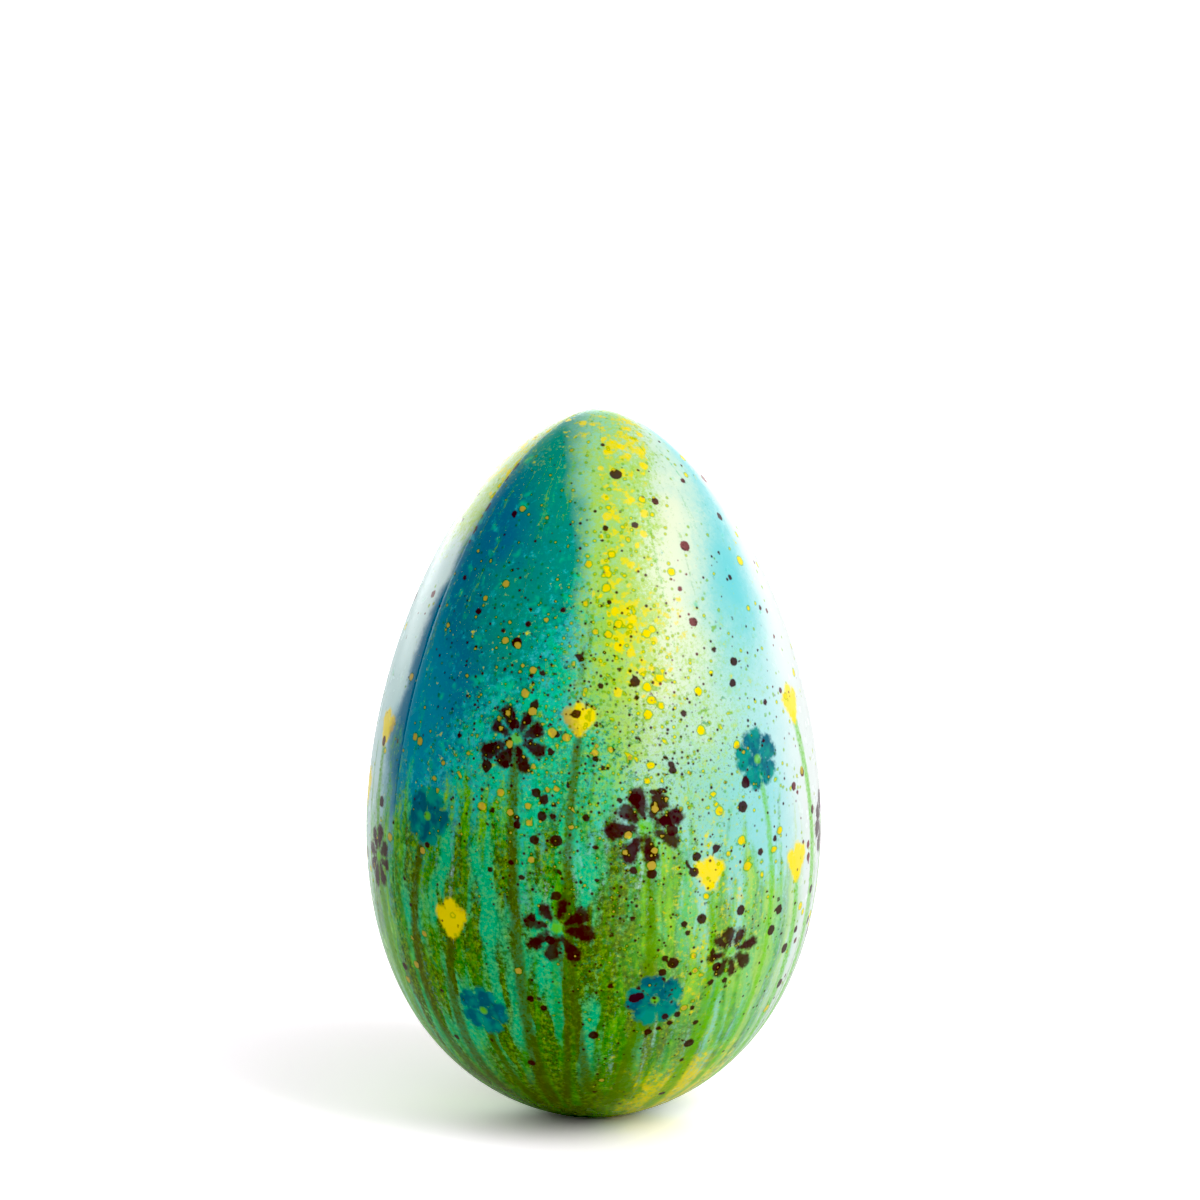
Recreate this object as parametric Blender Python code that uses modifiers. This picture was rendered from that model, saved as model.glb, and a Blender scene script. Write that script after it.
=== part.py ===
"""Chocolate egg, moulded as two halves joined along one seam, standing on a small flat at its blunt end.

Units are metres. The egg's axis is +Z, its flat lies on the plane z = 0 with its centre at the origin, and
its front faces -Y. The whole egg is one solid: nothing shows of its inside.
"""

import math

import bmesh
import bpy

# Driving dimensions
EGG_LENGTH = 0.1500  # from tip to tip of the full outline, before the flat is taken off
EGG_WIDTH = 0.0950  # across the widest ring
BELLY_DROP = 0.0136  # how far below mid-length the widest ring lies
END_TAPER = 1.10  # 1 is the plain egg curve, and more draws both ends in
FLAT_RADIUS = 0.0075  # the flat spot that the egg stands on
SEAM_LEFT_OF_FRONT = math.radians(60)  # where the seam runs down the side, from above
SEAM_WIDTH = 0.0004
SEAM_DEPTH = 0.0002

# How finely the outline and its turning are divided
OUTLINE_STEPS = 44
TURN_STEPS = 72
HALVINGS = 60  # of the stretch in which the flat's edge is sought
SLOPE_STEP = 0.0001  # in t, to each side of the point where the outline's slope is read
SEAM_CUTTER_REACH = 0.0010  # how far the seam's cutter stands out of the surface
MERGE_DISTANCE = 0.00001

PAINT_COLOUR = (0.05, 0.32, 0.20, 1.0)
PAINT_ROUGHNESS = 0.12


def clear_scene():
    """Removes what the startup file holds."""
    for obj in list(bpy.data.objects):
        bpy.data.objects.remove(obj)


def new_collection(name):
    """Adds a collection to the scene."""
    collection = bpy.data.collections.new(name)
    bpy.context.scene.collection.children.link(collection)
    return collection


def full_outline(t):
    """Half width, and height over mid-length, of the egg's outline.

    t runs from 0 at the pointed tip to pi at the blunt one.
    """
    along = EGG_LENGTH / 2 * math.cos(t)
    below = EGG_LENGTH**2 + 8 * BELLY_DROP * along + 4 * BELLY_DROP**2
    plain = (EGG_LENGTH**2 - 4 * along**2) / below
    return EGG_WIDTH / 2 * max(plain, 0.0) ** (END_TAPER / 2), along


def flat_position():
    """The t at which the outline has narrowed to the flat's radius, near the blunt tip."""
    wide = math.pi / 2
    narrow = math.pi
    for _ in range(HALVINGS):
        middle = (wide + narrow) / 2
        if full_outline(middle)[0] > FLAT_RADIUS:
            wide = middle
        else:
            narrow = middle
    return (wide + narrow) / 2


FLAT_T = flat_position()
MID_HEIGHT = -full_outline(FLAT_T)[1]  # mid-length stands this high over the flat


def outline_point(t, inset=0.0):
    """A point of the outline as (x, z), set in from the surface by inset."""
    if t < SLOPE_STEP:
        run_x, run_z = 1.0, 0.0
    elif t > math.pi - SLOPE_STEP:
        run_x, run_z = -1.0, 0.0
    else:
        before = full_outline(t - SLOPE_STEP)
        after = full_outline(t + SLOPE_STEP)
        run_x, run_z = after[0] - before[0], after[1] - before[1]
    length = math.hypot(run_x, run_z)
    x, z = full_outline(t)
    return x + inset * run_z / length, z + MID_HEIGHT - inset * run_x / length


def paint_material():
    """The glossy coloured cocoa butter of the shell, as one plain colour."""
    material = bpy.data.materials.new("painted_shell")
    material.use_nodes = True
    shader = material.node_tree.nodes["Principled BSDF"]
    shader.inputs["Base Color"].default_value = PAINT_COLOUR
    shader.inputs["Roughness"].default_value = PAINT_ROUGHNESS
    shader.inputs["Metallic"].default_value = 0.0
    material.diffuse_color = PAINT_COLOUR
    return material


def make_egg(collection):
    """The egg's body: half of its outline, turned about the axis."""
    points = [outline_point(FLAT_T * i / OUTLINE_STEPS) for i in range(OUTLINE_STEPS + 1)]
    points[0] = (0.0, points[0][1])
    points[-1] = (FLAT_RADIUS, 0.0)
    points.append((0.0, 0.0))
    profile = bmesh.new()
    corners = [profile.verts.new((x, 0.0, z)) for x, z in points]
    for upper, lower in zip(corners, corners[1:]):
        profile.edges.new((upper, lower))
    mesh = bpy.data.meshes.new("egg_shell")
    profile.to_mesh(mesh)
    profile.free()
    egg = bpy.data.objects.new("egg_shell", mesh)
    collection.objects.link(egg)
    turning = egg.modifiers.new("turning", "SCREW")
    turning.axis = "Z"
    turning.angle = 2 * math.pi
    turning.steps = turning.render_steps = TURN_STEPS
    turning.use_merge_vertices = True
    turning.merge_threshold = MERGE_DISTANCE
    turning.use_smooth_shade = True
    egg.data.materials.append(paint_material())
    return egg


def add_loop(curve, inset):
    """One closed loop round the whole egg, in the seam's plane, set in from the surface by inset."""
    right = [outline_point(math.pi * i / OUTLINE_STEPS, inset) for i in range(OUTLINE_STEPS + 1)]
    left = [(-x, z) for x, z in reversed(right[1:-1])]
    loop = right + left
    spline = curve.splines.new("POLY")
    spline.points.add(len(loop) - 1)
    for point, (x, z) in zip(spline.points, loop):
        point.co = (x, z, 0.0, 1.0)
    spline.use_cyclic_u = True


def make_seam_cutter(collection):
    """A thin flat ring in the seam's plane, whose inner edge lies just under the surface.

    It follows the full outline, so it passes under the flat and leaves that whole.
    """
    curve = bpy.data.curves.new("seam_ring", "CURVE")
    curve.dimensions = "2D"
    curve.fill_mode = "BOTH"
    curve.extrude = SEAM_WIDTH / 2
    add_loop(curve, -SEAM_CUTTER_REACH)
    add_loop(curve, SEAM_DEPTH)
    ring = bpy.data.objects.new("seam_ring", curve)
    collection.objects.link(ring)
    ring.rotation_euler = (math.pi / 2, 0.0, -math.pi / 2 - SEAM_LEFT_OF_FRONT)
    bpy.context.view_layer.update()

    graph = bpy.context.evaluated_depsgraph_get()
    mesh = bpy.data.meshes.new_from_object(ring.evaluated_get(graph))
    welding = bmesh.new()
    welding.from_mesh(mesh)
    bmesh.ops.remove_doubles(welding, verts=welding.verts, dist=MERGE_DISTANCE)
    bmesh.ops.recalc_face_normals(welding, faces=welding.faces)
    welding.to_mesh(mesh)
    welding.free()
    cutter = bpy.data.objects.new("seam_cutter", mesh)
    cutter.matrix_world = ring.matrix_world
    collection.objects.link(cutter)
    bpy.data.objects.remove(ring)
    cutter.hide_render = True
    cutter.display_type = "WIRE"
    return cutter


def cut_seam(egg, cutter):
    """Takes the fine line of the seam out of the egg's surface."""
    cut = egg.modifiers.new("seam", "BOOLEAN")
    cut.operation = "DIFFERENCE"
    cut.solver = "EXACT"
    cut.object = cutter


def main():
    clear_scene()
    egg = make_egg(new_collection("chocolate_egg"))
    cut_seam(egg, make_seam_cutter(new_collection("cutters")))


main()
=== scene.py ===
"""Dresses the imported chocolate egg: two glossy painted halves, joined at a fine seam, in a soft white studio.

Lengths in the settings and the meshes are metres. The painting is laid out in millimetres and degrees:
azimuth 0 is the front, and it grows to the right as the egg is seen; height is counted from the floor.
"""

import math
import random

import bpy
import numpy as np
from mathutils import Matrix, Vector


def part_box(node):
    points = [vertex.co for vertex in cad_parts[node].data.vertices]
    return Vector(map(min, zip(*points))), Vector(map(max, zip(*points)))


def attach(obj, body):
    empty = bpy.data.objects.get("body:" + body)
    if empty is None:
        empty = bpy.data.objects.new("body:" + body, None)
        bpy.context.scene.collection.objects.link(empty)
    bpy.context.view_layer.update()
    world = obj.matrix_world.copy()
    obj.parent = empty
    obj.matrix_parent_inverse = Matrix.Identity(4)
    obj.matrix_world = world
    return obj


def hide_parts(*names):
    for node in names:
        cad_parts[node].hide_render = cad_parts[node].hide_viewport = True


bl_info = {
    "name": "Painted chocolate egg",
    "version": (1, 0, 0),
    "blender": (4, 5, 0),
    "location": "3D View > Sidebar > Egg",
    "description": "Models and paints a moulded chocolate egg around its packed solid",
    "category": "Object",
}

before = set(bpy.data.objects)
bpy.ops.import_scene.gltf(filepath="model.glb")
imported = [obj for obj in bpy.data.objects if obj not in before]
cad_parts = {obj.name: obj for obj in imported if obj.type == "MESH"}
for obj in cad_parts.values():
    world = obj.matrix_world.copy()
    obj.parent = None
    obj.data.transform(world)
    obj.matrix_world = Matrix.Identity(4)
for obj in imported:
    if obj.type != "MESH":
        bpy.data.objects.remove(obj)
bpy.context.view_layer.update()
EGG_LOW, EGG_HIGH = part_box("egg_shell")

MM = 1000.0  # millimetres in a metre
SMOOTH_ANGLE = math.radians(40)  # sharper edges than this stay sharp

# How finely a half is modelled
OUTLINE_STEPS = 330
TURN_STEPS = 244
LIP_STEPS = 4  # columns of faces across the rounded edge at each end of the turn
WELD_DISTANCE = 2e-7
UV_LAYER = "OFBake"
UV_MARGIN = 0.01
UV_JOINT_STRIP = 0.02  # share of the map's width left for the hidden joint face
ON_AXIS = 0.001  # millimetres from the axis, within which a corner has no azimuth of its own


def srgb(red, green, blue):
    """A screen colour of 0 to 255 as the linear RGBA that shaders use."""
    channels = []
    for value in (red, green, blue):
        share = value / 255
        channels.append(share / 12.92 if share <= 0.04045 else ((share + 0.055) / 1.055) ** 2.4)
    return (*channels, 1.0)


def colour_property(name, description, colour):
    """A colour setting that has no alpha of its own."""
    return bpy.props.FloatVectorProperty(
        name=name, description=description, default=colour, size=4, subtype="COLOR", min=0.0, max=1.0
    )


def length_property(name, description, metres):
    """A setting in metres."""
    return bpy.props.FloatProperty(name=name, description=description, default=metres, unit="LENGTH")


def angle_property(name, description, degrees):
    """A setting that is shown in degrees."""
    turn = math.radians(degrees)
    return bpy.props.FloatProperty(name=name, description=description, default=turn, subtype="ANGLE")


class EggShape(bpy.types.PropertyGroup):
    """The sizes of the moulded egg."""

    full_length: length_property("Full length", "From tip to tip, before the flat is taken off", 0.150)
    width: length_property("Width", "Across the widest ring", round(EGG_HIGH.x - EGG_LOW.x, 4))
    belly_drop: length_property("Belly drop", "How far below mid-length the widest ring lies", 0.0136)
    end_taper: bpy.props.FloatProperty(
        name="End taper", description="1 is the plain egg curve, and more draws both ends in", default=1.10,
    )
    flat_radius: length_property("Flat radius", "The flat spot that the egg stands on", 0.0075)
    seam_turn: angle_property("Seam turn", "Where the seam runs down, left of the front", 60)
    lip_width: length_property("Lip width", "How far in from the seam each half's edge is rounded", 0.0005)
    lip_depth: length_property("Lip depth", "How deep the seam lies between the two rounded edges", 0.00012)


class EggColours(bpy.types.PropertyGroup):
    """The cocoa butter colours of the painting; three of them also carry painted highlights."""

    pale: colour_property("Pale ground", "The sprayed ground on the light side", srgb(212, 230, 226))
    # Cream is partly pale yellow paint and partly a painted highlight: the soft glow of the key light on the
    # upper front.
    cream: colour_property("Cream", "Where a little yellow lies over the pale ground", srgb(222, 230, 196))
    # Chalk is a painted sheen: white along the side's edge for the bright light and reflection there.
    chalk: colour_property("Chalk", "The whitened edge of the light side", srgb(216, 224, 222))
    aqua: colour_property("Aqua", "Thin blue over the pale ground", srgb(68, 194, 204))
    blue: colour_property("Blue", "The strongest blue of the sky", srgb(0, 108, 142))
    sea: colour_property("Sea", "The lighter blue of the sky", srgb(0, 136, 164))
    teal: colour_property("Teal", "Where the blue turns green", srgb(0, 140, 126))
    turquoise: colour_property("Turquoise", "Bright gaps between strokes", srgb(0, 194, 142))
    lime: colour_property("Lime", "The yellow-green mist", srgb(168, 206, 0))
    grass: colour_property("Grass", "The meadow's light green", srgb(106, 192, 0))
    leaf: colour_property("Leaf", "The meadow's main green", srgb(38, 132, 4))
    forest: colour_property("Forest", "The meadow's dark stipple", srgb(14, 76, 8))
    olive: colour_property("Olive", "Dark strokes and stems", srgb(74, 78, 0))
    yellow: colour_property("Yellow", "Drops and small flowers", srgb(240, 216, 0))
    ochre: colour_property("Ochre", "Yellow where it lies over blue or green", srgb(186, 160, 62))
    plum: colour_property("Plum", "Dark drops and daisies", srgb(60, 22, 30))
    # Rose is a painted highlight: plum drops paled to pink where they lie in the bright glow.
    rose: colour_property("Rose", "Thin plum drops over the pale ground", srgb(176, 84, 92))
    flower_teal: colour_property("Flower teal", "The five-petalled flowers", srgb(0, 88, 112))
    chocolate: colour_property("Chocolate", "Where the paint has chipped off", srgb(50, 10, 20))


class EggStudio(bpy.types.PropertyGroup):
    """The camera and the light."""

    distance: length_property("Distance", "From the camera to the egg's middle", 1.3)
    elevation: angle_property("Elevation", "How far above level the camera looks from", 12.0)
    lens: bpy.props.FloatProperty(
        name="Lens", description="Focal length in millimetres, on a 36 mm sensor", default=186.8,
    )
    lift: angle_property("Lift", "How far above the egg's middle the camera points", 1.49)
    aside: length_property("Aside", "How far right of the egg's middle the camera stands", 0.00095)
    roll: angle_property("Roll", "The camera's lean to the left", 0.46)
    brightness: bpy.props.FloatProperty(
        name="Brightness", description="Strength of the whole studio's light", default=1.0,
    )


class Wire:
    """A socket of a shader, on which Python's operators add Math nodes."""

    def __init__(self, graph, socket):
        self.graph = graph
        self.socket = socket

    def __add__(self, other):
        return self.graph.maths("ADD", self, other)

    def __radd__(self, other):
        return self.graph.maths("ADD", other, self)

    def __sub__(self, other):
        return self.graph.maths("SUBTRACT", self, other)

    def __rsub__(self, other):
        return self.graph.maths("SUBTRACT", other, self)

    def __mul__(self, other):
        return self.graph.maths("MULTIPLY", self, other)

    def __rmul__(self, other):
        return self.graph.maths("MULTIPLY", other, self)

    def __truediv__(self, other):
        return self.graph.maths("DIVIDE", self, other)

    def output(self, name):
        """Another output of the node that this wire comes from."""
        return Wire(self.graph, self.socket.node.outputs[name])


class Graph:
    """A node tree, written as Python expressions."""

    def __init__(self, tree):
        self.tree = tree
        tree.nodes.clear()

    def node(self, kind, settings=(), sockets=(), output=0):
        """Adds any node: first its settings, then the values or links of its sockets."""
        node = self.tree.nodes.new(kind)
        for name, value in dict(settings).items():
            setattr(node, name, value)
        for key, value in dict(sockets).items():
            if isinstance(value, Wire):
                self.tree.links.new(value.socket, node.inputs[key])
            else:
                node.inputs[key].default_value = value
        return Wire(self, node.outputs[output]) if node.outputs else node

    def maths(self, operation, *values, clamp=False):
        settings = {"operation": operation, "use_clamp": clamp}
        return self.node("ShaderNodeMath", settings, enumerate(values))

    def vectors(self, operation, *values, output=0):
        return self.node("ShaderNodeVectorMath", {"operation": operation}, enumerate(values), output)

    def scaled(self, vector, factor):
        return self.node("ShaderNodeVectorMath", {"operation": "SCALE"}, {0: vector, "Scale": factor})

    def step(self, value, low, high):
        """0 at low, 1 at high and smooth between; low may be the larger of the two."""
        sockets = {"Value": value, "From Min": min(low, high), "From Max": max(low, high)}
        sockets["To Min"], sockets["To Max"] = (0, 1) if low < high else (1, 0)
        return self.node("ShaderNodeMapRange", {"interpolation_type": "SMOOTHSTEP"}, sockets)

    def blend(self, factor, first, second, kind="MIX"):
        """Two colours blended: first where factor is 0, second where it is 1."""
        settings = {"data_type": "RGBA", "blend_type": kind}
        return self.node("ShaderNodeMix", settings, {0: factor, 6: first, 7: second}, 2)

    def noise(self, vector, size, detail=2.0, roughness=0.5):
        """Noise from 0 to 1 whose humps are about size across."""
        sockets = {"Vector": vector, "Scale": 1 / size, "Detail": detail, "Roughness": roughness}
        return self.node("ShaderNodeTexNoise", (), sockets)

    def oval(self, side, height, place, reach, softness):
        """A soft-edged oval, 1 in its middle: place is (azimuth, height), and reach its half sizes."""
        across = self.angle_from(side, place[0]) / reach[0]
        along = (height - place[1]) / reach[1]
        distance = self.maths("SQRT", across * across + along * along)
        return self.step(distance, 1 + softness, 1 - softness)

    def angle_from(self, side, azimuth):
        """Degrees between a level direction and the one at azimuth."""
        cosine = self.vectors("DOT_PRODUCT", side, direction_of(azimuth), output="Value")
        return self.maths("ARCCOSINE", cosine) * (180 / math.pi)


def direction_of(azimuth):
    """The level direction of an azimuth, in degrees."""
    turn = math.radians(azimuth)
    return math.sin(turn), -math.cos(turn), 0.0


def half_width(t, shape):
    """Half width, and height over mid-length, of the egg's outline; t is 0 at the tip and pi below."""
    along = shape.full_length / 2 * np.cos(t)
    below = shape.full_length**2 + 8 * shape.belly_drop * along + 4 * shape.belly_drop**2
    plain = (shape.full_length**2 - 4 * along**2) / below
    return shape.width / 2 * np.clip(plain, 0, None) ** (shape.end_taper / 2), along


class Outline:
    """The egg's outline as a table from its tip to the flat's edge, and places on its surface."""

    TABLE_STEPS = 20000
    SLOPE_REACH = 1.0  # millimetres to each side of the height at which a slope is read
    LEAST_RADIUS = 1.0  # millimetres, so that a step to the side at the tip stays small

    def __init__(self, shape):
        turn = np.linspace(0, math.pi, self.TABLE_STEPS)
        width, along = half_width(turn, shape)
        below = (turn > math.pi / 2) & (width < shape.flat_radius)
        self.end = turn[below][0]
        self.middle = -along[below][0]
        keep = turn <= self.end
        self.widths = width[keep] * MM
        self.heights = (along[keep] + self.middle) * MM
        steps = np.hypot(np.diff(self.widths), np.diff(self.heights))
        self.lengths = np.concatenate([[0.0], np.cumsum(steps)])

    def radius(self, height):
        """The egg's half width at a height."""
        return np.interp(-height, -self.heights, self.widths)

    def length_at(self, height):
        """Millimetres along the outline from the tip down to a height."""
        return np.interp(-height, -self.heights, self.lengths)

    def climb(self, height):
        """How much height one millimetre along the outline gains."""
        rise = 2 * self.SLOPE_REACH
        run = self.radius(height + self.SLOPE_REACH) - self.radius(height - self.SLOPE_REACH)
        return rise / math.hypot(rise, run)

    def point(self, azimuth, height):
        """A place on the surface, in millimetres."""
        turn = math.radians(azimuth)
        radius = self.radius(height)
        return np.array([radius * math.sin(turn), -radius * math.cos(turn), height])

    def near(self, azimuth, height, right, up):
        """The place that lies right and up by so many millimetres over the surface."""
        there = height + up * self.climb(height)
        return azimuth + math.degrees(right / max(self.radius(there), self.LEAST_RADIUS)), there


class Brush:
    """Paint laid on with a brush: each layer holds every vertex's distance to the nearest dab's edge."""

    FAR = 8.0  # what a vertex out of every dab's reach holds
    REACH = 4.0  # how far past a dab's ends its distances are worked out
    TINY = 1e-9  # keeps a dab without length from dividing by nothing

    def __init__(self, outline, points):
        self.outline = outline
        self.points = points
        self.layers = {}
        self.upwards = np.argsort(points[:, 2])
        self.levels = points[self.upwards, 2]

    def dab(self, layer, start, end, start_width, end_width):
        """One stroke between two places, each (azimuth, height); the widths are its half widths there."""
        distances = self.layers.setdefault(layer, np.full(len(self.points), self.FAR))
        first = self.outline.point(*start)
        run = self.outline.point(*end) - first
        reach = np.linalg.norm(run) + self.REACH
        low, high = np.searchsorted(self.levels, (first[2] - reach, first[2] + reach))
        close = self.upwards[low:high]
        close = close[(np.abs(self.points[close] - first) < reach).all(axis=1)]
        offset = self.points[close] - first
        share = np.clip(offset @ run / max(run @ run, self.TINY), 0, 1)
        gap = np.linalg.norm(offset - share[:, None] * run, axis=1)
        gap -= start_width + (end_width - start_width) * share
        distances[close] = np.minimum(distances[close], gap)

    def stroke(self, layer, places, start_width, end_width):
        """A curved stroke through several places, tapering from start_width to end_width."""
        for i in range(len(places) - 1):
            low = start_width + (end_width - start_width) * i / (len(places) - 1)
            high = start_width + (end_width - start_width) * (i + 1) / (len(places) - 1)
            self.dab(layer, places[i], places[i + 1], low, high)

    def petal(self, layer, centre, turn, inner, outer, inner_width, outer_width):
        """One dab that points away from a flower's centre."""
        start = self.outline.near(*centre, inner * math.cos(turn), inner * math.sin(turn))
        end = self.outline.near(*centre, outer * math.cos(turn), outer * math.sin(turn))
        self.dab(layer, start, end, inner_width, outer_width)

    def store(self, mesh):
        """Writes each layer to the mesh as an attribute of its name."""
        for layer in LAYERS:
            values = self.layers.get(layer, np.full(len(self.points), self.FAR))
            attribute = mesh.attributes.new(layer, "FLOAT", "POINT")
            attribute.data.foreach_set("value", values.astype(np.float32))


LAYERS = (
    "stems", "blades", "plum_petals", "teal_petals", "yellow_petals", "flower_eyes",
    "yellow_drops", "plum_drops", "chips",
)

# The flowers: kind, azimuth, height, and size across
FLOWERS = (
    ("daisy", -21, 88, 14.5), ("daisy", 13, 71, 15.5), ("daisy", -9, 50, 14.5), ("daisy", 38, 43, 12.5),
    ("daisy", -69, 58, 13.0), ("daisy", 84, 64, 14.5), ("daisy", 109, 84, 14.0), ("daisy", 152, 56, 15.5),
    ("daisy", 184, 76, 14.5), ("daisy", 216, 50, 14.0), ("daisy", 247, 80, 14.0), ("daisy", 270, 44, 13.0),
    ("forget_me_not", -46, 70, 12.5), ("forget_me_not", 47, 82, 13.0), ("forget_me_not", 17, 34, 12.5),
    ("forget_me_not", -32, 30, 12.0), ("forget_me_not", 98, 40, 12.5), ("forget_me_not", 136, 70, 12.5),
    ("forget_me_not", 168, 36, 12.5), ("forget_me_not", 201, 92, 12.0), ("forget_me_not", 232, 66, 12.5),
    ("forget_me_not", 258, 58, 12.0),
    ("tulip", 62, 58, 9.0), ("tulip", 68, 90, 9.0), ("tulip", -4, 92, 8.0), ("tulip", -38, 49, 9.5),
    ("tulip", -72, 84, 9.0), ("tulip", 30, 60, 8.0), ("tulip", 110, 58, 9.0), ("tulip", 146, 88, 8.5),
    ("tulip", 176, 54, 9.0), ("tulip", 208, 70, 9.0), ("tulip", 240, 42, 9.5), ("tulip", 276, 70, 9.0),
)


# The drawing of the meadow and the drops
PETAL_SHAKE = 0.10  # radians
EYE_SHARE = 0.075  # an eye's radius, as a share of its flower's size
MEADOW_SEED = 11
BLADES = 72
BLADE_SPACING = 5  # degrees
STROKE_STEPS = 12
SMALLEST_DROP = 0.30  # radius in millimetres
DROP_SKEW = 5  # the higher it is, the rarer large drops are
DROP_HEIGHTS = (4, 147)
BASE_DROPS = 0.12  # how thick drops lie where the design names none
DROP_LAYERS = (("yellow_drops", 560, 1.0), ("plum_drops", 620, 1.2))  # drops on one half, largest radius
# Chips along the seam's top: height, length, half width
SEAM_CHIPS = (
    (139.0, 1.6, 0.45), (136.4, 0.9, 0.35), (131.2, 1.5, 0.45), (128.9, 0.8, 0.30), (126.6, 1.4, 0.50),
)
CHIP_ASIDE = 0.5  # how far right of the seam they start, in millimetres


def paint_eye(brush, centre, size):
    """The small round dab in the middle of a flower."""
    brush.petal("flower_eyes", centre, 0.0, 0.0, 0.1, size * EYE_SHARE, size * EYE_SHARE)


def paint_daisy(brush, centre, size, chance):
    """Eight slim dabs round a small eye."""
    petals = 8
    start = chance.uniform(0, math.tau)
    for i in range(petals):
        turn = start + math.tau * i / petals + chance.uniform(-PETAL_SHAKE, PETAL_SHAKE)
        outer = size / 2 * chance.uniform(0.62, 0.90)
        width = size * chance.uniform(0.085, 0.140)
        brush.petal("plum_petals", centre, turn, size * 0.16, outer, size * 0.05, width)
    paint_eye(brush, centre, size)


def paint_forget_me_not(brush, centre, size, chance):
    """Five broad petals round a small eye, each of two dabs."""
    petals = 5
    start = chance.uniform(0, math.tau)
    for i in range(petals):
        for lean in (-0.24, 0.24):
            turn = start + math.tau * i / petals + lean
            outer = size / 2 * chance.uniform(0.66, 0.74)
            brush.petal("teal_petals", centre, turn, size * 0.10, outer, size * 0.06, size * 0.135)
    paint_eye(brush, centre, size)


def paint_tulip(brush, centre, size, chance):
    """Three upright dabs that share their foot."""
    foot = brush.outline.near(*centre, 0.0, -size * 0.24)
    for lean in (-0.75, 0.0, 0.75):
        turn = math.pi / 2 + lean + chance.uniform(-PETAL_SHAKE, PETAL_SHAKE)
        reach = size * chance.uniform(0.34, 0.44)
        tip = brush.outline.near(*centre, reach * math.cos(turn), reach * math.sin(turn) - size * 0.06)
        brush.dab("yellow_petals", foot, tip, size * 0.16, size * 0.18)


PAINTERS = {"daisy": paint_daisy, "forget_me_not": paint_forget_me_not, "tulip": paint_tulip}


def bent_line(start, end, bend):
    """Places along a curve between two places, bowed sideways by bend degrees."""
    places = []
    for i in range(STROKE_STEPS + 1):
        share = i / STROKE_STEPS
        azimuth = start[0] + (end[0] - start[0]) * share + bend * 4 * share * (1 - share)
        places.append((azimuth, start[1] + (end[1] - start[1]) * share))
    return places


def drops_at(places, azimuth, height):
    """How thick the drops lie at a place: a base amount and soft ovals of more."""
    total = BASE_DROPS
    for amount, (middle, level), (half_angle, half_height) in places:
        across = ((azimuth - middle + 180) % 360 - 180) / half_angle
        total += amount * max(0.0, 1 - across**2 - ((height - level) / half_height) ** 2)
    return total


def in_half(azimuth, first_azimuth):
    """Whether an azimuth lies in the half turn that starts at first_azimuth."""
    return (azimuth - first_azimuth) % 360 < 180


def paint_meadow(brush, first_azimuth):
    """All brushwork of one half: its grass blades, its stems and its flowers."""
    chance = random.Random(MEADOW_SEED)
    for i in range(BLADES):
        azimuth = i * BLADE_SPACING + chance.uniform(-2, 2)
        root = (azimuth, chance.uniform(3, 24))
        tip = (azimuth + chance.uniform(-7, 7), chance.uniform(38, 88))
        width = chance.uniform(0.25, 1.0)
        bend = chance.uniform(-5, 5)
        if in_half(azimuth, first_azimuth):
            brush.stroke("blades", bent_line(root, tip, bend), width, width * 0.4)
    for kind, azimuth, height, size in FLOWERS:
        bend = chance.uniform(-5, 5)
        lean = chance.uniform(-6, 6)
        foot = chance.uniform(4, 12)
        width = chance.uniform(0.8, 1.7)
        if in_half(azimuth, first_azimuth):
            line = bent_line((azimuth + lean, foot), (azimuth, height - 2), bend)
            brush.stroke("stems", line, width, width * 0.7)
            PAINTERS[kind](brush, (azimuth, height), size, chance)


def scatter_drops(brush, layer, first_azimuth, count, places, largest):
    """Round drops of one colour, thrown at random and thickest where the design says."""
    chance = random.Random(layer + str(round(first_azimuth)))
    left = count
    while left:
        azimuth = first_azimuth + chance.uniform(0, 180)
        height = chance.uniform(*DROP_HEIGHTS)
        width = brush.outline.radius(height) / brush.outline.widths.max()
        if chance.random() > width * drops_at(places, azimuth, height):
            continue
        radius = SMALLEST_DROP + (largest - SMALLEST_DROP) * chance.random() ** DROP_SKEW
        end = brush.outline.near(azimuth, height, chance.uniform(-0.3, 0.3) * radius, 0.0)
        brush.dab(layer, (azimuth, height), end, radius, radius)
        left -= 1


def chip_seam(brush, seam_azimuth):
    """Small chips along the top of the seam, through to the chocolate."""
    for height, length, width in SEAM_CHIPS:
        start = brush.outline.near(seam_azimuth, height, CHIP_ASIDE, 0.0)
        end = brush.outline.near(seam_azimuth, height, CHIP_ASIDE, -length)
        brush.dab("chips", start, end, width, width * 0.7)


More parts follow.
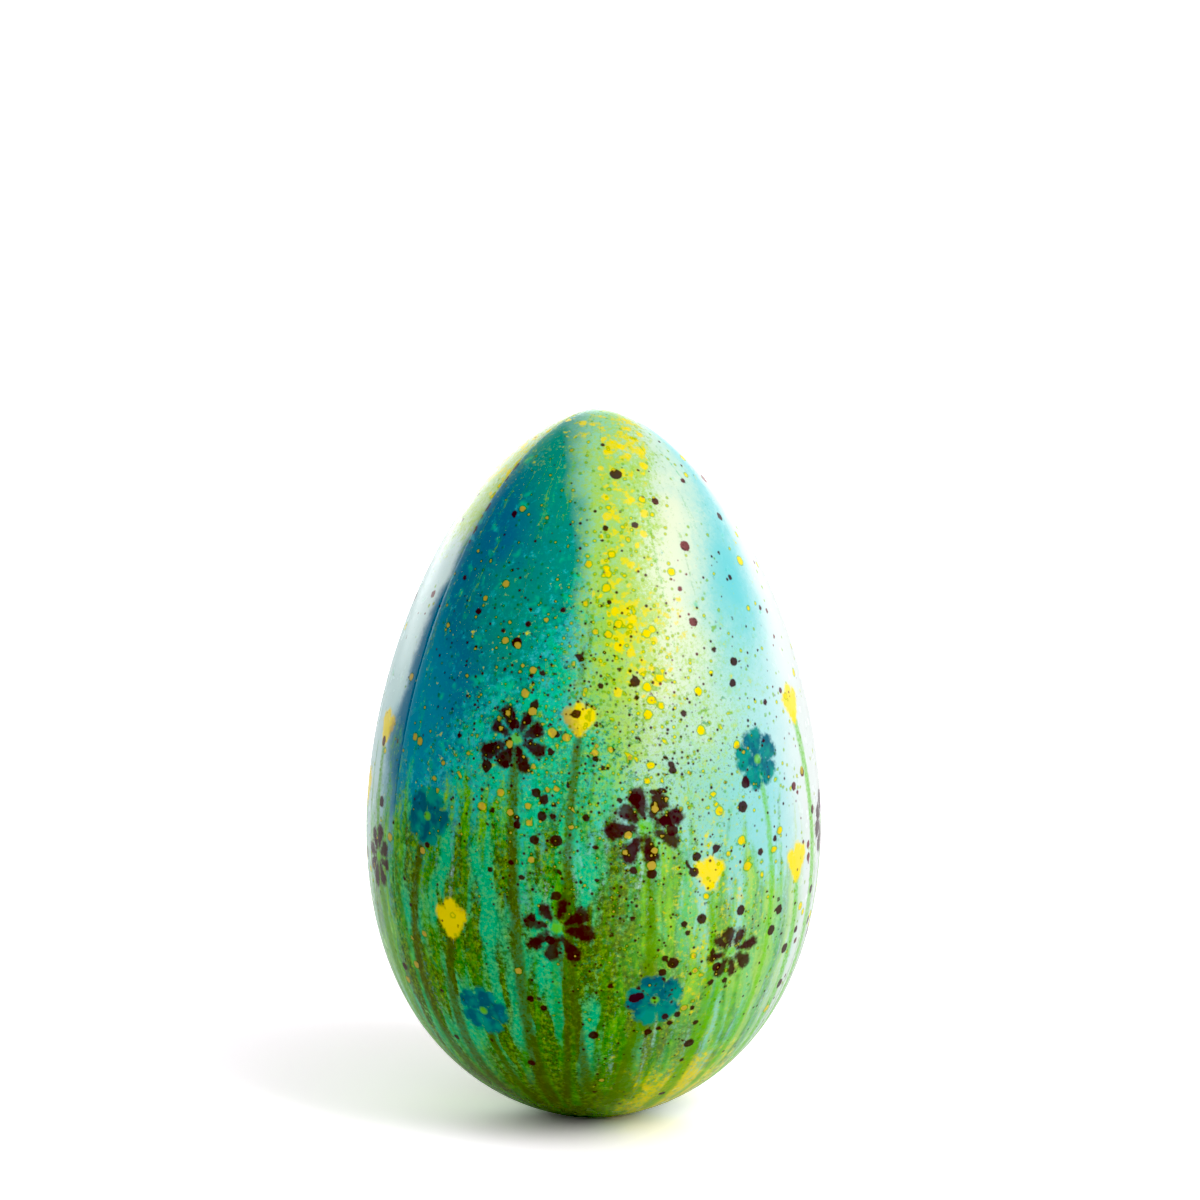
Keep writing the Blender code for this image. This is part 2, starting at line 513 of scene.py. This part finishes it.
class EggPaint(Graph):
    """The painting of one half, from its sprayed ground to the last drops."""

    BELLY = 47.5  # the egg's radius at its widest, in millimetres
    TIP_RISE = (90, 112)  # heights between which the passes turn to run straight over the tip
    TIP_TURN = 0.6  # how squarely a side has to face the design's middle for the whole turn
    SHIFT_PER_DEGREE = 0.31  # of the half's first azimuth: sets one half's noise apart from the other's
    SHIFT_SHARES = (1.0, 0.7, 1.3)  # how much of the shift goes along x, y and z
    # Sizes of the noises in millimetres
    WANDER_SIZE = 15
    RAGGED_SIZE = 11
    GRAIN_SIZE = 0.75
    GRIT_SIZE = 0.95
    MOTTLE_SIZE = 2.0
    WOBBLE_SIZE = 0.9
    PATCH_SIZE = 3.2
    WAVE_SIZE = 9
    # How far the noises move the paint and the surface
    SPRAY_WANDER = 0.24
    STREAK_WANDER = 0.14
    RAGGED_HEIGHT = 24
    WAVE_HEIGHT = 0.06
    FINE = (3, 0.7)  # detail and roughness of the fine noises
    # The skin
    ROUGHNESS = 0.26
    ROUGHNESS_CHANGE = 0.10
    IOR = 1.17

    def __init__(self, tree, colours, facing, first_azimuth):
        super().__init__(tree)
        self.colours = colours
        self.place = self.scaled(self.node("ShaderNodeTexCoord", output="Object"), MM)
        shift = [first_azimuth * self.SHIFT_PER_DEGREE * share for share in self.SHIFT_SHARES]
        self.shifted = self.vectors("ADD", self.place, shift)
        self.height = self.node("ShaderNodeSeparateXYZ", (), {0: self.place}).output("Z")
        level = self.vectors("MULTIPLY", self.place, (1, 1, 0))
        side = self.vectors("NORMALIZE", level)
        wander = self.noise(self.shifted, self.WANDER_SIZE).output("Color")
        wander = self.vectors("SUBTRACT", wander, (0.5, 0.5, 0.5))
        narrowing = self.BELLY - self.vectors("LENGTH", level, output="Value")
        aim = direction_of(facing)
        towards = self.vectors("DOT_PRODUCT", side, aim, output="Value")
        upper = self.step(self.height, *self.TIP_RISE) * self.step(towards, 0, self.TIP_TURN)
        sprayed = self.vectors("ADD", level, self.scaled(aim, narrowing * upper))
        self.side = self.level_direction(self.vectors("NORMALIZE", sprayed), wander, self.SPRAY_WANDER)
        self.around = self.scaled(self.level_direction(side, wander, self.STREAK_WANDER), self.BELLY)
        ragged = self.noise(self.shifted, self.RAGGED_SIZE, 3) - 0.5
        self.loose_height = self.height + ragged * self.RAGGED_HEIGHT
        self.grain = self.noise(self.shifted, self.GRAIN_SIZE, *self.FINE) - 0.5
        self.grit = self.noise(self.place, self.GRIT_SIZE, *self.FINE) - 0.5
        self.mottle = self.noise(self.place, self.MOTTLE_SIZE, *self.FINE) - 0.5
        self.wobble = self.noise(self.place, self.WOBBLE_SIZE) - 0.5
        self.patches = self.noise(self.place, self.PATCH_SIZE) - 0.5

    def level_direction(self, side, wander, amount):
        """A level direction that strays a little."""
        strayed = self.vectors("ADD", side, self.vectors("MULTIPLY", wander, (amount, amount, 0)))
        return self.vectors("NORMALIZE", strayed)

    def streaks(self, size, stretch, detail=3.0, offset=0.0):
        """Noise drawn out along the egg, as a brush leaves it."""
        drawn = self.vectors("MULTIPLY", self.shifted, (0, 0, 1 / stretch))
        place = self.vectors("ADD", self.around, drawn)
        if offset:
            place = self.vectors("ADD", place, (offset, offset, offset))
        return self.noise(place, size, detail)

    def colour(self, name):
        return tuple(getattr(self.colours, name))

    def over(self, ground, mask, name):
        """The ground with one of the colours over it."""
        return self.blend(mask, ground, self.colour(name))

    def between(self, factor, first, second):
        """One of the colours where factor is 0 and another where it is 1."""
        return self.blend(factor, self.colour(first), self.colour(second))

    def spray(self, ground, colour, place, reach, strength, softness):
        """One pass of the airbrush over the ground, whose edge breaks up into specks."""
        mask = self.oval(self.side, self.loose_height, place, reach, softness)
        edge = mask * (1 - mask) * (self.grain * 2.4 + self.mottle * 2.2)
        return self.over(ground, self.maths("ADD", mask, edge, clamp=True) * strength, colour)

    def field(self, places, base=0.0):
        """How much of something lies where: a base amount and soft ovals of more."""
        total = base
        for amount, place, reach in places:
            total = total + self.oval(self.side, self.loose_height, place, reach, 0.7) * amount
        return total

    def specks(self, noise, density, sharpness):
        """Specks of spray, cut from a noise about 0, that close up as the density nears 1."""
        return self.step(noise + density * 0.5, 0.25 - sharpness, 0.25 + sharpness)

    def speckled(self, ground, passes):
        """The ground under specks, pass by pass: colour, noise, density, sharpness, strength."""
        for name, noise, density, sharpness, strength in passes:
            ground = self.over(ground, self.specks(noise, density, sharpness) * strength, name)
        return ground

    def brightness(self, colour):
        """How bright a colour is, as one number."""
        return self.node("ShaderNodeRGBToBW", (), {0: colour})

    def small_drops(self, cell, size, amount, offset):
        """How far inside a tiny round drop: up to size in radius, where amount lets them be."""
        place = self.vectors("ADD", self.shifted, (offset, offset, offset))
        sockets = {"Vector": place, "Scale": 1 / cell, "Randomness": 0.85}
        cells = self.node("ShaderNodeTexVoronoi", (), sockets)
        chances = self.node("ShaderNodeSeparateColor", (), {0: cells.output("Color")})
        there = self.maths("MULTIPLY", amount - chances.output("Green"), 8, clamp=True)
        radius = size * there * (0.45 + 0.55 * chances.output("Red"))
        return radius - cells * cell - 0.4 * (1 - there)

    def layer(self, name, wobble=0.5):
        """How far inside the nearest dab of a brushed layer, with an uneven edge."""
        read = self.node("ShaderNodeAttribute", {"attribute_name": name}, output="Fac")
        return self.wobble * wobble - read

    def brushed(self, name, softness, wobble=0.5):
        """Where a brushed layer lies, with a soft uneven edge."""
        return self.step(self.layer(name, wobble), -softness, softness)

    def sky(self, passes):
        """The airbrushed ground."""
        ground = self.colour("pale")
        for colour, place, reach, strength, softness in passes:
            ground = self.spray(ground, colour, place, reach, strength, softness)
        return ground

    def mist(self, ground, misty, golden, dewy):
        """Turquoise and yellow-green spray over the sky, and the yellow mottles at its thickest."""
        dew = self.field(dewy)
        ground = self.speckled(ground, (
            ("aqua", self.mottle * -1, dew * 0.52, 0.12, 0.75),
            ("turquoise", self.patches, dew * 0.42, 0.10, 0.70),
            ("turquoise", self.grit, dew * 0.44, 0.12, 0.60),
            ("forest", self.grit * -1, dew * 0.32, 0.10, 0.45),
        ))
        density = self.field(misty)
        low = self.step(self.loose_height, 116, 84)
        gold = self.field(golden)
        ground = self.over(ground, density * density * 0.20, "lime")
        ground = self.speckled(ground, (
            ("leaf", self.mottle * -1, density * low * 0.40, 0.05, 0.60),
            ("forest", self.grain * -1, density * low * 0.40, 0.08, 0.50),
            ("lime", self.grain, density * 0.62, 0.08, 0.50),
            ("lime", self.mottle, density * 0.54, 0.12, 0.50),
            ("yellow", self.mottle, gold * 0.46, 0.07, 0.70),
        ))
        blots = self.small_drops(2.6, 1.1, gold * 0.8, 151) + self.wobble * 0.9
        return self.over(ground, self.step(blots, -0.15, 0.2) * 0.8, "yellow")

    def meadow(self, ground, light, deep):
        """Stippled greens, brushed up from the foot, with turquoise gaps and a wash under them. The greens are
        made paler and more open by light and darker by deep, painted light and painted shade; the olive
        darkening at the foot is painted shade as well.
        """
        rise = self.step(self.loose_height, 90, 44)
        rough = self.grain * (0.55 - light * 0.15) + self.mottle * 0.16
        hatch = self.streaks(1.3, 6, 2, 53) - 0.5
        cover = self.step(self.streaks(3.6, 8) + rough + hatch * 0.4 + rise * 0.52 - light * 0.20, 0.56, 0.84)
        cover = cover * (0.97 + deep * 0.03 - light * 0.16)
        tone = self.streaks(6.0, 6, 3, 31) + hatch * 0.4 + self.patches * 0.16 + light * 0.08 - deep * 0.15
        green = self.between(self.step(tone, 0.34, 0.48), "olive", "leaf")
        green = self.over(green, self.step(tone, 0.46, 0.60), "grass")
        green = self.over(green, self.step(tone, 0.56, 0.74), "lime")
        open_up = self.streaks(5.2, 5, 2, 77) + self.grit * 0.24 + deep * 0.05
        gaps = self.step(open_up, 0.53, 0.64) * self.step(self.height, 8, 26)
        green = self.over(green, gaps * (0.95 - light * 0.6), "turquoise")
        fresh = self.step(self.loose_height, 20, 60)
        green = self.speckled(green, (
            ("turquoise", self.mottle, 0.22 + fresh * 0.2 - light * 0.16 - deep * 0.06, 0.12, 0.50),
            ("forest", self.mottle * -1, 0.28 - light * 0.10, 0.12, 0.50),
            ("leaf", self.grain, 0.34 + deep * 0.08 - light * 0.12, 0.14, 0.60 + deep * 0.1 - light * 0.3),
            ("forest", self.grain * -1, 0.30 + deep * 0.08 - light * 0.18, 0.12, 0.60),
            ("lime", self.grit, 0.36, 0.16, 0.50),
        ))
        green = self.over(green, gaps * (0.42 - light * 0.34), "turquoise")
        wash = self.step(self.loose_height, 72, 30) * (0.5 - light * 0.42)
        ground = self.blend(cover, self.over(ground, wash, "turquoise"), green)
        # Painted shade: olive darkening towards the foot, stronger on the shaded side and weaker on the lit
        # side.
        foot = self.step(self.loose_height, 24, 2) * (0.32 + deep * 0.18 - light * 0.27)
        return self.over(ground, foot, "olive")

    def veil(self, ground, painted_sheen_places, sunny):
        """A painted sheen, pale white over the side's edge for the bright light and reflection there, and
        yellow spray round the foot.
        """
        bright = self.field(sunny)
        ground = self.over(ground, bright * 0.35, "lime")
        ground = self.speckled(ground, (
            ("yellow", self.mottle, bright * 0.5, 0.10, 0.75),
            ("yellow", self.grain, bright * 0.5, 0.10, 0.60),
        ))
        # Painted sheen: white over the side's edge for the bright light and reflection there.
        painted_sheen = self.field(painted_sheen_places)
        painted_sheen_flecks = self.maths("ADD", painted_sheen, self.grain * 0.4 + self.mottle * 0.3, clamp=True)
        return self.over(ground, painted_sheen_flecks * painted_sheen, "chalk")

    def brushwork(self, ground, light, deep, sky):
        """Blades and stems, dry enough to show what is under them, and the flowers. Blades are darker and stems
        olive on the shaded side, stems grass green on the lit side: painted light and shade.
        """
        dry = 0.70 + self.grain * 1.2
        # Painted light and shade: blades darker and stems olive on the shaded side, stems grass green on the
        # lit side.
        blade = self.between(self.step(self.patches - deep * 0.1, -0.14, 0.12), "leaf", "grass")
        ground = self.blend(self.brushed("blades", 0.5, 0.9) * dry * 0.7, ground, blade)
        stalk = self.between(light, "olive", "grass")
        ground = self.blend(self.brushed("stems", 0.6, 1.2) * dry, ground, stalk)
        golden = self.between(self.step(sky, 0.24, 0.50), "ochre", "yellow")
        ground = self.blend(self.brushed("yellow_petals", 0.55, 1.5) * 0.92, ground, golden)
        blue = self.between(self.step(self.patches, -0.10, 0.14), "flower_teal", "teal")
        blue = self.over(blue, self.step(self.mottle, 0.04, 0.22) * 0.5, "sea")
        ground = self.blend(self.brushed("teal_petals", 0.6, 1.7) * 0.94, ground, blue)
        dense = 0.95 + self.patches * 0.2
        ground = self.over(ground, self.brushed("plum_petals", 0.55, 1.6) * dense, "plum")
        return self.over(ground, self.brushed("flower_eyes", 0.35) * 0.7, "grass")

    def spatter(self, ground, plum_drops, yellow_drops):
        """Plum and yellow drops. The yellow ones have a darker rim, and are dull over blue or green. The plum
        ones turn pink over bright ground, a painted highlight.
        """
        few = self.field(plum_drops, 0.10)
        plum = self.maths("MAXIMUM", self.layer("plum_drops"), self.small_drops(1.5, 0.36, few, 17))
        # Painted highlight: plum drops turn pink where the ground is bright.
        dark = self.between(self.step(self.brightness(ground), 0.60, 0.84) * 0.7, "plum", "rose")
        ground = self.blend(self.step(plum, -0.16, 0.16) * 0.95, ground, dark)
        golden = self.between(self.step(self.brightness(ground), 0.30, 0.62), "ochre", "yellow")
        some = self.field(yellow_drops, 0.12)
        drop = self.maths("MAXIMUM", self.layer("yellow_drops"), self.small_drops(1.5, 0.34, some * 0.9, 71))
        ring = self.step(drop, -0.30, 0.02)
        ground = self.blend(ring * 0.8, ground, self.blend(1.0, ground, self.colour("lime"), "MULTIPLY"))
        ground = self.blend(self.step(drop, -0.04, 0.22) * 0.94, ground, golden)
        ground = self.over(ground, self.brushed("chips", 0.15), "chocolate")
        return self.over(ground, self.step(self.small_drops(2.2, 0.22, 0.05, 131), -0.08, 0.08), "pale")

    def finish(self, design):
        """Sky, mist, meadow, flowers and drops on one glossy skin."""
        paint = self.sky(design["sky"])
        sky = self.brightness(paint)
        paint = self.mist(paint, design["mist"], design["gold"], design["dew"])
        # Painted light and shade: light marks where the paint is made paler as if lit, deep where it is made
        # darker as if in shade.
        light = self.field(design["painted_light_side"])
        deep = self.field(design["painted_shade_side"])
        paint = self.meadow(paint, light, deep)
        paint = self.veil(paint, design["veil"], design["sunny"])
        paint = self.brushwork(paint, light, deep, sky)
        paint = self.spatter(paint, design["plum_drops"], design["yellow_drops"])
        waves = (self.noise(self.shifted, self.WAVE_SIZE) - 0.5) * self.WAVE_HEIGHT
        bump = self.node("ShaderNodeBump", (), {"Strength": 1.0, "Distance": 1 / MM, "Height": waves})
        sockets = {
            "Base Color": paint,
            "Roughness": self.ROUGHNESS + self.patches * self.ROUGHNESS_CHANGE,
            "IOR": self.IOR,
            "Normal": bump,
        }
        shader = self.node("ShaderNodeBsdfPrincipled", (), sockets)
        self.node("ShaderNodeOutputMaterial", (), {"Surface": shader})


# What is sprayed on each half. The sky's passes: colour, (azimuth, height), (half angle, half height),
# strength, softness. All else: more of it, (azimuth, height), (half angle, half height)
FRONT_DESIGN = {
    "facing": 0,
    "sky": (
        # The first pass, in cream, is a painted highlight over a little yellow paint: the key light's soft
        # glow.
        ("cream", (22, 112), (22, 50), 0.85, 0.6),
        ("turquoise", (1, 122), (10, 60), 0.60, 0.7),
        ("aqua", (40, 140), (24, 8), 0.50, 0.8),
        ("aqua", (41, 119), (12, 17), 0.80, 0.9),
        ("aqua", (48, 96), (15, 34), 0.30, 0.8),
        ("aqua", (40, 46), (26, 44), 0.60, 0.7),
        ("aqua", (14, 74), (30, 16), 0.50, 0.7),
        ("teal", (-25, 122), (22, 74), 1.0, 0.20),
        ("blue", (-49, 108), (19, 39), 1.0, 0.5),
        ("blue", (-30, 131), (13, 13), 1.0, 0.6),
        ("sea", (-56, 76), (16, 46), 1.0, 0.6),
        ("turquoise", (-3, 77), (12, 10), 0.95, 0.6),
    ),
    "mist": (
        (1.0, (6, 128), (10, 34)), (0.60, (24, 88), (26, 26)), (0.25, (-22, 76), (30, 14)),
        (0.20, (-22, 98), (26, 22)), (0.45, (-24, 143), (18, 8)),
    ),
    "dew": (
        (1.0, (-25, 74), (26, 17)), (0.22, (-14, 94), (24, 22)), (0.7, (-2, 92), (12, 26)),
        (0.28, (-26, 114), (26, 36)),
    ),
    "gold": ((0.85, (7, 122), (6, 28)), (0.7, (18, 109), (9, 11)), (0.6, (2, 146), (20, 4))),
    # The next two fields are painted light and painted shade: the meadow paler and sparser on the right, where
    # the key light falls, and darker on the lower left and the front foot, in shade.
    "painted_light_side": ((1.0, (64, 50), (44, 90)),),
    "painted_shade_side": ((1.0, (-28, 34), (44, 38)), (0.5, (2, 20), (40, 16))),
    # The veil is a painted sheen along the right edge.
    "veil": ((0.95, (84, 76), (22, 96)), (0.25, (60, 56), (22, 50))),
    "sunny": ((1.0, (42, 8), (30, 10)), (0.4, (27, 52), (18, 28)), (0.2, (46, 34), (26, 28))),
    "plum_drops": ((0.8, (-8, 86), (36, 36)), (0.5, (22, 56), (34, 40)), (0.12, (44, 100), (24, 26))),
    "yellow_drops": ((0.7, (6, 104), (22, 46)), (0.5, (-26, 88), (30, 30)), (0.35, (32, 74), (34, 34))),
}
BACK_DESIGN = {
    "facing": 290,
    "sky": (
        ("aqua", (274, 70), (26, 60), 0.30, 0.7),
        ("teal", (148, 112), (24, 62), 0.95, 0.30),
        ("blue", (172, 112), (20, 36), 0.95, 0.5),
        ("aqua", (212, 92), (34, 46), 0.60, 0.7),
        ("sea", (246, 100), (18, 44), 0.90, 0.5),
        ("turquoise", (196, 78), (12, 12), 0.85, 0.6),
        ("sea", (298, 62), (7, 34), 0.70, 0.6),
        ("blue", (299, 100), (5, 34), 1.0, 0.5),
    ),
    "mist": (
        (0.8, (196, 120), (12, 60)), (0.5, (220, 84), (34, 24)), (0.45, (160, 74), (26, 12)),
        (1.0, (290, 137), (26, 14)),
    ),
    "dew": ((1.0, (196, 80), (30, 18)), (0.6, (150, 78), (26, 16))),
    "gold": ((1.0, (198, 118), (5, 30)), (0.8, (290, 140), (24, 8))),
    # The next two fields are painted light and painted shade, as on the front: paler towards the left edge,
    # darker low down.
    "painted_light_side": ((1.0, (268, 50), (26, 90)),),
    "painted_shade_side": ((0.9, (170, 34), (34, 34)), (0.6, (226, 28), (26, 24))),
    # The veil is a painted sheen along the left edge.
    "veil": ((0.6, (272, 50), (22, 60)),),
    "sunny": ((0.9, (150, 8), (36, 10)), (0.6, (206, 50), (18, 28))),
    "plum_drops": ((0.7, (170, 82), (40, 34)), (0.45, (226, 70), (40, 40))),
    "yellow_drops": ((0.5, (198, 104), (26, 46)), (0.35, (150, 82), (36, 26)), (0.35, (240, 74), (34, 34))),
}


def select_near_seam(mesh, reach):
    """Selects the vertices that lie within reach of the seam's plane, y = 0."""
    places = np.empty(len(mesh.vertices) * 3)
    mesh.vertices.foreach_get("co", places)
    mesh.vertices.foreach_set("select", np.abs(places[1::3]) < reach)


def draw_outline(shape, outline):
    """The outline as a line of vertices, drawn from the tip down to the middle of the flat."""
    before = Vector((0, 0, outline.heights[0] / MM))
    bpy.ops.mesh.primitive_plane_add(size=shape.flat_radius, location=before)
    bpy.ops.object.mode_set(mode="EDIT")
    bpy.ops.mesh.select_mode(type="VERT")
    bpy.ops.mesh.select_all(action="SELECT")
    bpy.ops.mesh.merge(type="CENTER")
    for i in range(1, OUTLINE_STEPS + 1):
        width, along = half_width(outline.end * i / OUTLINE_STEPS, shape)
        place = Vector((float(width), 0, float(along) + outline.middle))
        bpy.ops.mesh.extrude_region_move(TRANSFORM_OT_translate={"value": place - before})
        before = place
    bpy.ops.mesh.extrude_region_move(TRANSFORM_OT_translate={"value": -before})


def model_half(shape):
    """One half shell on the -Y side of the seam's plane: a quarter is spun from the outline and mirrored."""
    bpy.ops.object.select_all(action="DESELECT")
    draw_outline(shape, Outline(shape))
    half = bpy.context.object
    bpy.ops.mesh.select_all(action="SELECT")
    edge = shape.lip_width / (shape.width / 2)
    for steps, angle in ((LIP_STEPS, edge), (TURN_STEPS // 2, math.pi / 2 - edge)):
        bpy.ops.mesh.spin(steps=steps, angle=angle, center=(0, 0, 0), axis=(0, 0, 1))
    bpy.ops.mesh.select_all(action="SELECT")
    bpy.ops.mesh.remove_doubles(threshold=WELD_DISTANCE)
    bpy.ops.object.mode_set(mode="OBJECT")
    mirror = half.modifiers.new("other_quarter", "MIRROR")
    mirror.merge_threshold = WELD_DISTANCE
    bpy.ops.object.modifier_apply(modifier=mirror.name)
    bpy.ops.object.mode_set(mode="EDIT")
    bpy.ops.mesh.select_all(action="SELECT")
    bpy.ops.mesh.normals_make_consistent(inside=False)
    for i in range(LIP_STEPS):
        bpy.ops.mesh.select_all(action="DESELECT")
        bpy.ops.object.mode_set(mode="OBJECT")
        select_near_seam(half.data, shape.lip_width * (1 - (i + 0.5) / LIP_STEPS))
        bpy.ops.object.mode_set(mode="EDIT")
        depth = shape.lip_depth * (2 * i + 1) / LIP_STEPS**2
        bpy.ops.transform.shrink_fatten(value=-depth)
    bpy.ops.mesh.select_all(action="DESELECT")
    bpy.ops.mesh.select_non_manifold()
    bpy.ops.mesh.edge_face_add()
    bpy.ops.mesh.select_all(action="SELECT")
    bpy.ops.mesh.normals_make_consistent(inside=False)
    bpy.ops.object.mode_set(mode="OBJECT")
    bpy.ops.object.shade_smooth_by_angle(angle=SMOOTH_ANGLE)
    return half


def turn_half(half, first_azimuth, name):
    """Turns a copy of the half about the egg's axis, so that it starts at first_azimuth."""
    bpy.ops.object.select_all(action="DESELECT")
    half.select_set(True)
    bpy.context.view_layer.objects.active = half
    bpy.ops.object.duplicate()
    turned = bpy.context.object
    turned.name = turned.data.name = name
    turn = -math.radians(first_azimuth + 90)
    bpy.ops.transform.rotate(value=turn, orient_axis="Z", center_override=(0, 0, 0))
    bpy.ops.object.transform_apply(location=True, rotation=True, scale=True)
    return turned


def mesh_places(mesh):
    """The vertices' places in millimetres, one row each."""
    places = np.empty(len(mesh.vertices) * 3)
    mesh.vertices.foreach_get("co", places)
    return places.reshape(-1, 3) * MM


def lay_out_map(mesh, first_azimuth, outline):
    """The half's own UV map: azimuth across, length along the outline up, and the joint face on a strip."""
    places = mesh_places(mesh)
    corner = np.empty(len(mesh.loops), int)
    mesh.loops.foreach_get("vertex_index", corner)
    counts = np.empty(len(mesh.polygons), int)
    mesh.polygons.foreach_get("loop_total", counts)
    face = np.repeat(np.arange(len(counts)), counts)
    x, y, z = places[corner].T
    turn = (np.degrees(np.arctan2(x, -y)) - first_azimuth + 90) % 360 - 90
    off_axis = np.hypot(x, y) > ON_AXIS
    mean = np.bincount(face, turn * off_axis) / np.bincount(face, off_axis)
    turn = np.where(off_axis, turn, mean[face])
    across = UV_MARGIN + (1 - 2 * UV_MARGIN - UV_JOINT_STRIP) * np.clip(turn / 180, 0, 1)
    level = places[corner] @ np.array(direction_of(first_azimuth)) / outline.widths.max()
    strip = 1 - UV_MARGIN - UV_JOINT_STRIP / 2 + level * UV_JOINT_STRIP / 4
    along = 1 - outline.length_at(z) / outline.lengths[-1]
    joint = counts[face] > 4  # every other face has three or four corners
    uv = np.stack([np.where(joint, strip, across), UV_MARGIN + (1 - 2 * UV_MARGIN) * along])
    mesh.uv_layers.new(name=UV_LAYER).data.foreach_set("uv", uv.T.astype(np.float32).ravel())


def paint_half(half, first_azimuth, design, settings):
    """Lays the brushwork on the half's vertices and gives it its material."""
    outline = Outline(settings.egg_shape)
    brush = Brush(outline, mesh_places(half.data))
    paint_meadow(brush, first_azimuth)
    for layer, count, largest in DROP_LAYERS:
        scatter_drops(brush, layer, first_azimuth, count, design[layer], largest)
    chip_seam(brush, -math.degrees(settings.egg_shape.seam_turn))
    brush.store(half.data)
    lay_out_map(half.data, first_azimuth, outline)
    material = bpy.data.materials.new(half.name + "_paint")
    material.use_nodes = True
    EggPaint(material.node_tree, settings.egg_colours, design["facing"], first_azimuth).finish(design)
    half.data.materials.append(material)


class EGG_OT_mould_halves(bpy.types.Operator):
    """Models and paints the two half shells and joins them at the seam"""

    bl_idname = "egg.mould_halves"
    bl_label = "Mould the halves"

    def execute(self, context):
        settings = context.scene
        seam = -math.degrees(settings.egg_shape.seam_turn)
        plain = model_half(settings.egg_shape)
        for name, first_azimuth, design in (
            ("front_half", seam, FRONT_DESIGN), ("back_half", seam + 180, BACK_DESIGN),
        ):
            half = turn_half(plain, first_azimuth, name)
            paint_half(half, first_azimuth, design, settings)
            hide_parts("egg_shell")
            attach(half, "root")
        bpy.data.objects.remove(plain)
        return {"FINISHED"}


# The studio's light: brightness, (azimuth, elevation), (half angle, half elevation)
SOFT_LIGHTS = (
    (9.6, (52, 46), (13, 28)),
    (1.7, (158, 8), (40, 26)),
    (4.2, (-158, 8), (32, 28)),
    (0.3, (0, 90), (180, 30)),
    (0.4, (14, 16), (50, 26)),
)
AMBIENT = 0.28
BACKDROP_WHITE = 1.6
FLOOR_WHITE = (0.85, 0.85, 0.85)
FLOOR_SEEN = (1.42, 1.34, 1.42)  # the camera sees the floor lit a little brighter than the egg
FLOOR_SIZE = 14
BLACK_LEVEL = (0.02, 0.02, 0.02)


class EGG_OT_set_studio(bpy.types.Operator):
    """Sets the pale floor, the soft light and the camera"""

    bl_idname = "egg.set_studio"
    bl_label = "Set the studio"

    def execute(self, context):
        studio = context.scene.egg_studio
        self.lay_floor()
        self.hang_lights(context.scene, studio)
        self.place_camera(context.scene, studio)
        return {"FINISHED"}

    def lay_floor(self):
        bpy.ops.object.select_all(action="DESELECT")
        bpy.ops.mesh.primitive_plane_add(size=FLOOR_SIZE, location=(0, 0, 0))
        floor = bpy.context.object
        floor.name = "studio_floor"
        material = bpy.data.materials.new("studio_floor")
        material.use_nodes = True
        graph = Graph(material.node_tree)
        seen = graph.node("ShaderNodeLightPath", output="Is Camera Ray")
        paper = graph.blend(seen, (*FLOOR_WHITE, 1), (*FLOOR_SEEN, 1))
        shader = graph.node("ShaderNodeBsdfDiffuse", (), {"Color": paper})
        graph.node("ShaderNodeOutputMaterial", (), {"Surface": shader})
        floor.data.materials.append(material)

    def hang_lights(self, scene, studio):
        world = bpy.data.worlds.new("studio")
        scene.world = world
        world.use_nodes = True
        graph = Graph(world.node_tree)
        direction = graph.node("ShaderNodeTexCoord", output="Generated")
        level = graph.vectors("NORMALIZE", graph.vectors("MULTIPLY", direction, (1, 1, 0)))
        up = graph.node("ShaderNodeSeparateXYZ", (), {0: direction}).output("Z")
        elevation = graph.maths("ARCSINE", up) * (180 / math.pi)
        light = AMBIENT
        for brightness, place, reach in SOFT_LIGHTS:
            light = light + graph.oval(level, elevation, place, reach, 0.5) * brightness
        seen = graph.node("ShaderNodeLightPath", output="Is Camera Ray")
        strength = light * (1 - seen) + seen * BACKDROP_WHITE
        sockets = {"Color": (1, 1, 1, 1), "Strength": strength * studio.brightness}
        background = graph.node("ShaderNodeBackground", (), sockets)
        graph.node("ShaderNodeOutputWorld", (), {"Surface": background})

    def place_camera(self, scene, studio):
        camera = bpy.data.objects.new("camera", bpy.data.cameras.new("camera"))
        scene.collection.objects.link(camera)
        camera.data.lens = studio.lens
        middle = (EGG_LOW.z + EGG_HIGH.z) / 2
        back = studio.distance * math.cos(studio.elevation)
        camera.location = (studio.aside, -back, middle + studio.distance * math.sin(studio.elevation))
        tilt = math.pi / 2 - studio.elevation + studio.lift
        camera.rotation_mode = "ZYX"
        camera.rotation_euler = (tilt, 0, studio.roll)
        scene.camera = camera
        scene.view_settings.view_transform = "Standard"
        scene.view_settings.use_curve_mapping = True
        scene.view_settings.curve_mapping.black_level = BLACK_LEVEL


class EGG_PT_sidebar(bpy.types.Panel):
    """The egg's settings and steps"""

    bl_label = "Chocolate egg"
    bl_idname = "EGG_PT_sidebar"
    bl_space_type = "VIEW_3D"
    bl_region_type = "UI"
    bl_category = "Egg"

    def draw(self, context):
        for group in (context.scene.egg_shape, context.scene.egg_colours, context.scene.egg_studio):
            box = self.layout.box()
            for name in group.__annotations__:
                box.prop(group, name)
        for operator in OPERATORS:
            self.layout.operator(operator.bl_idname)


GROUPS = {"egg_shape": EggShape, "egg_colours": EggColours, "egg_studio": EggStudio}
OPERATORS = (EGG_OT_mould_halves, EGG_OT_set_studio)
CLASSES = (*GROUPS.values(), *OPERATORS, EGG_PT_sidebar)


def register():
    for entry in CLASSES:
        bpy.utils.register_class(entry)
    for name, group in GROUPS.items():
        setattr(bpy.types.Scene, name, bpy.props.PointerProperty(type=group))


def unregister():
    for name in GROUPS:
        delattr(bpy.types.Scene, name)
    for entry in reversed(CLASSES):
        bpy.utils.unregister_class(entry)


def main():
    register()
    bpy.ops.egg.mould_halves()
    bpy.ops.egg.set_studio()


if __name__ == "__main__":
    main()
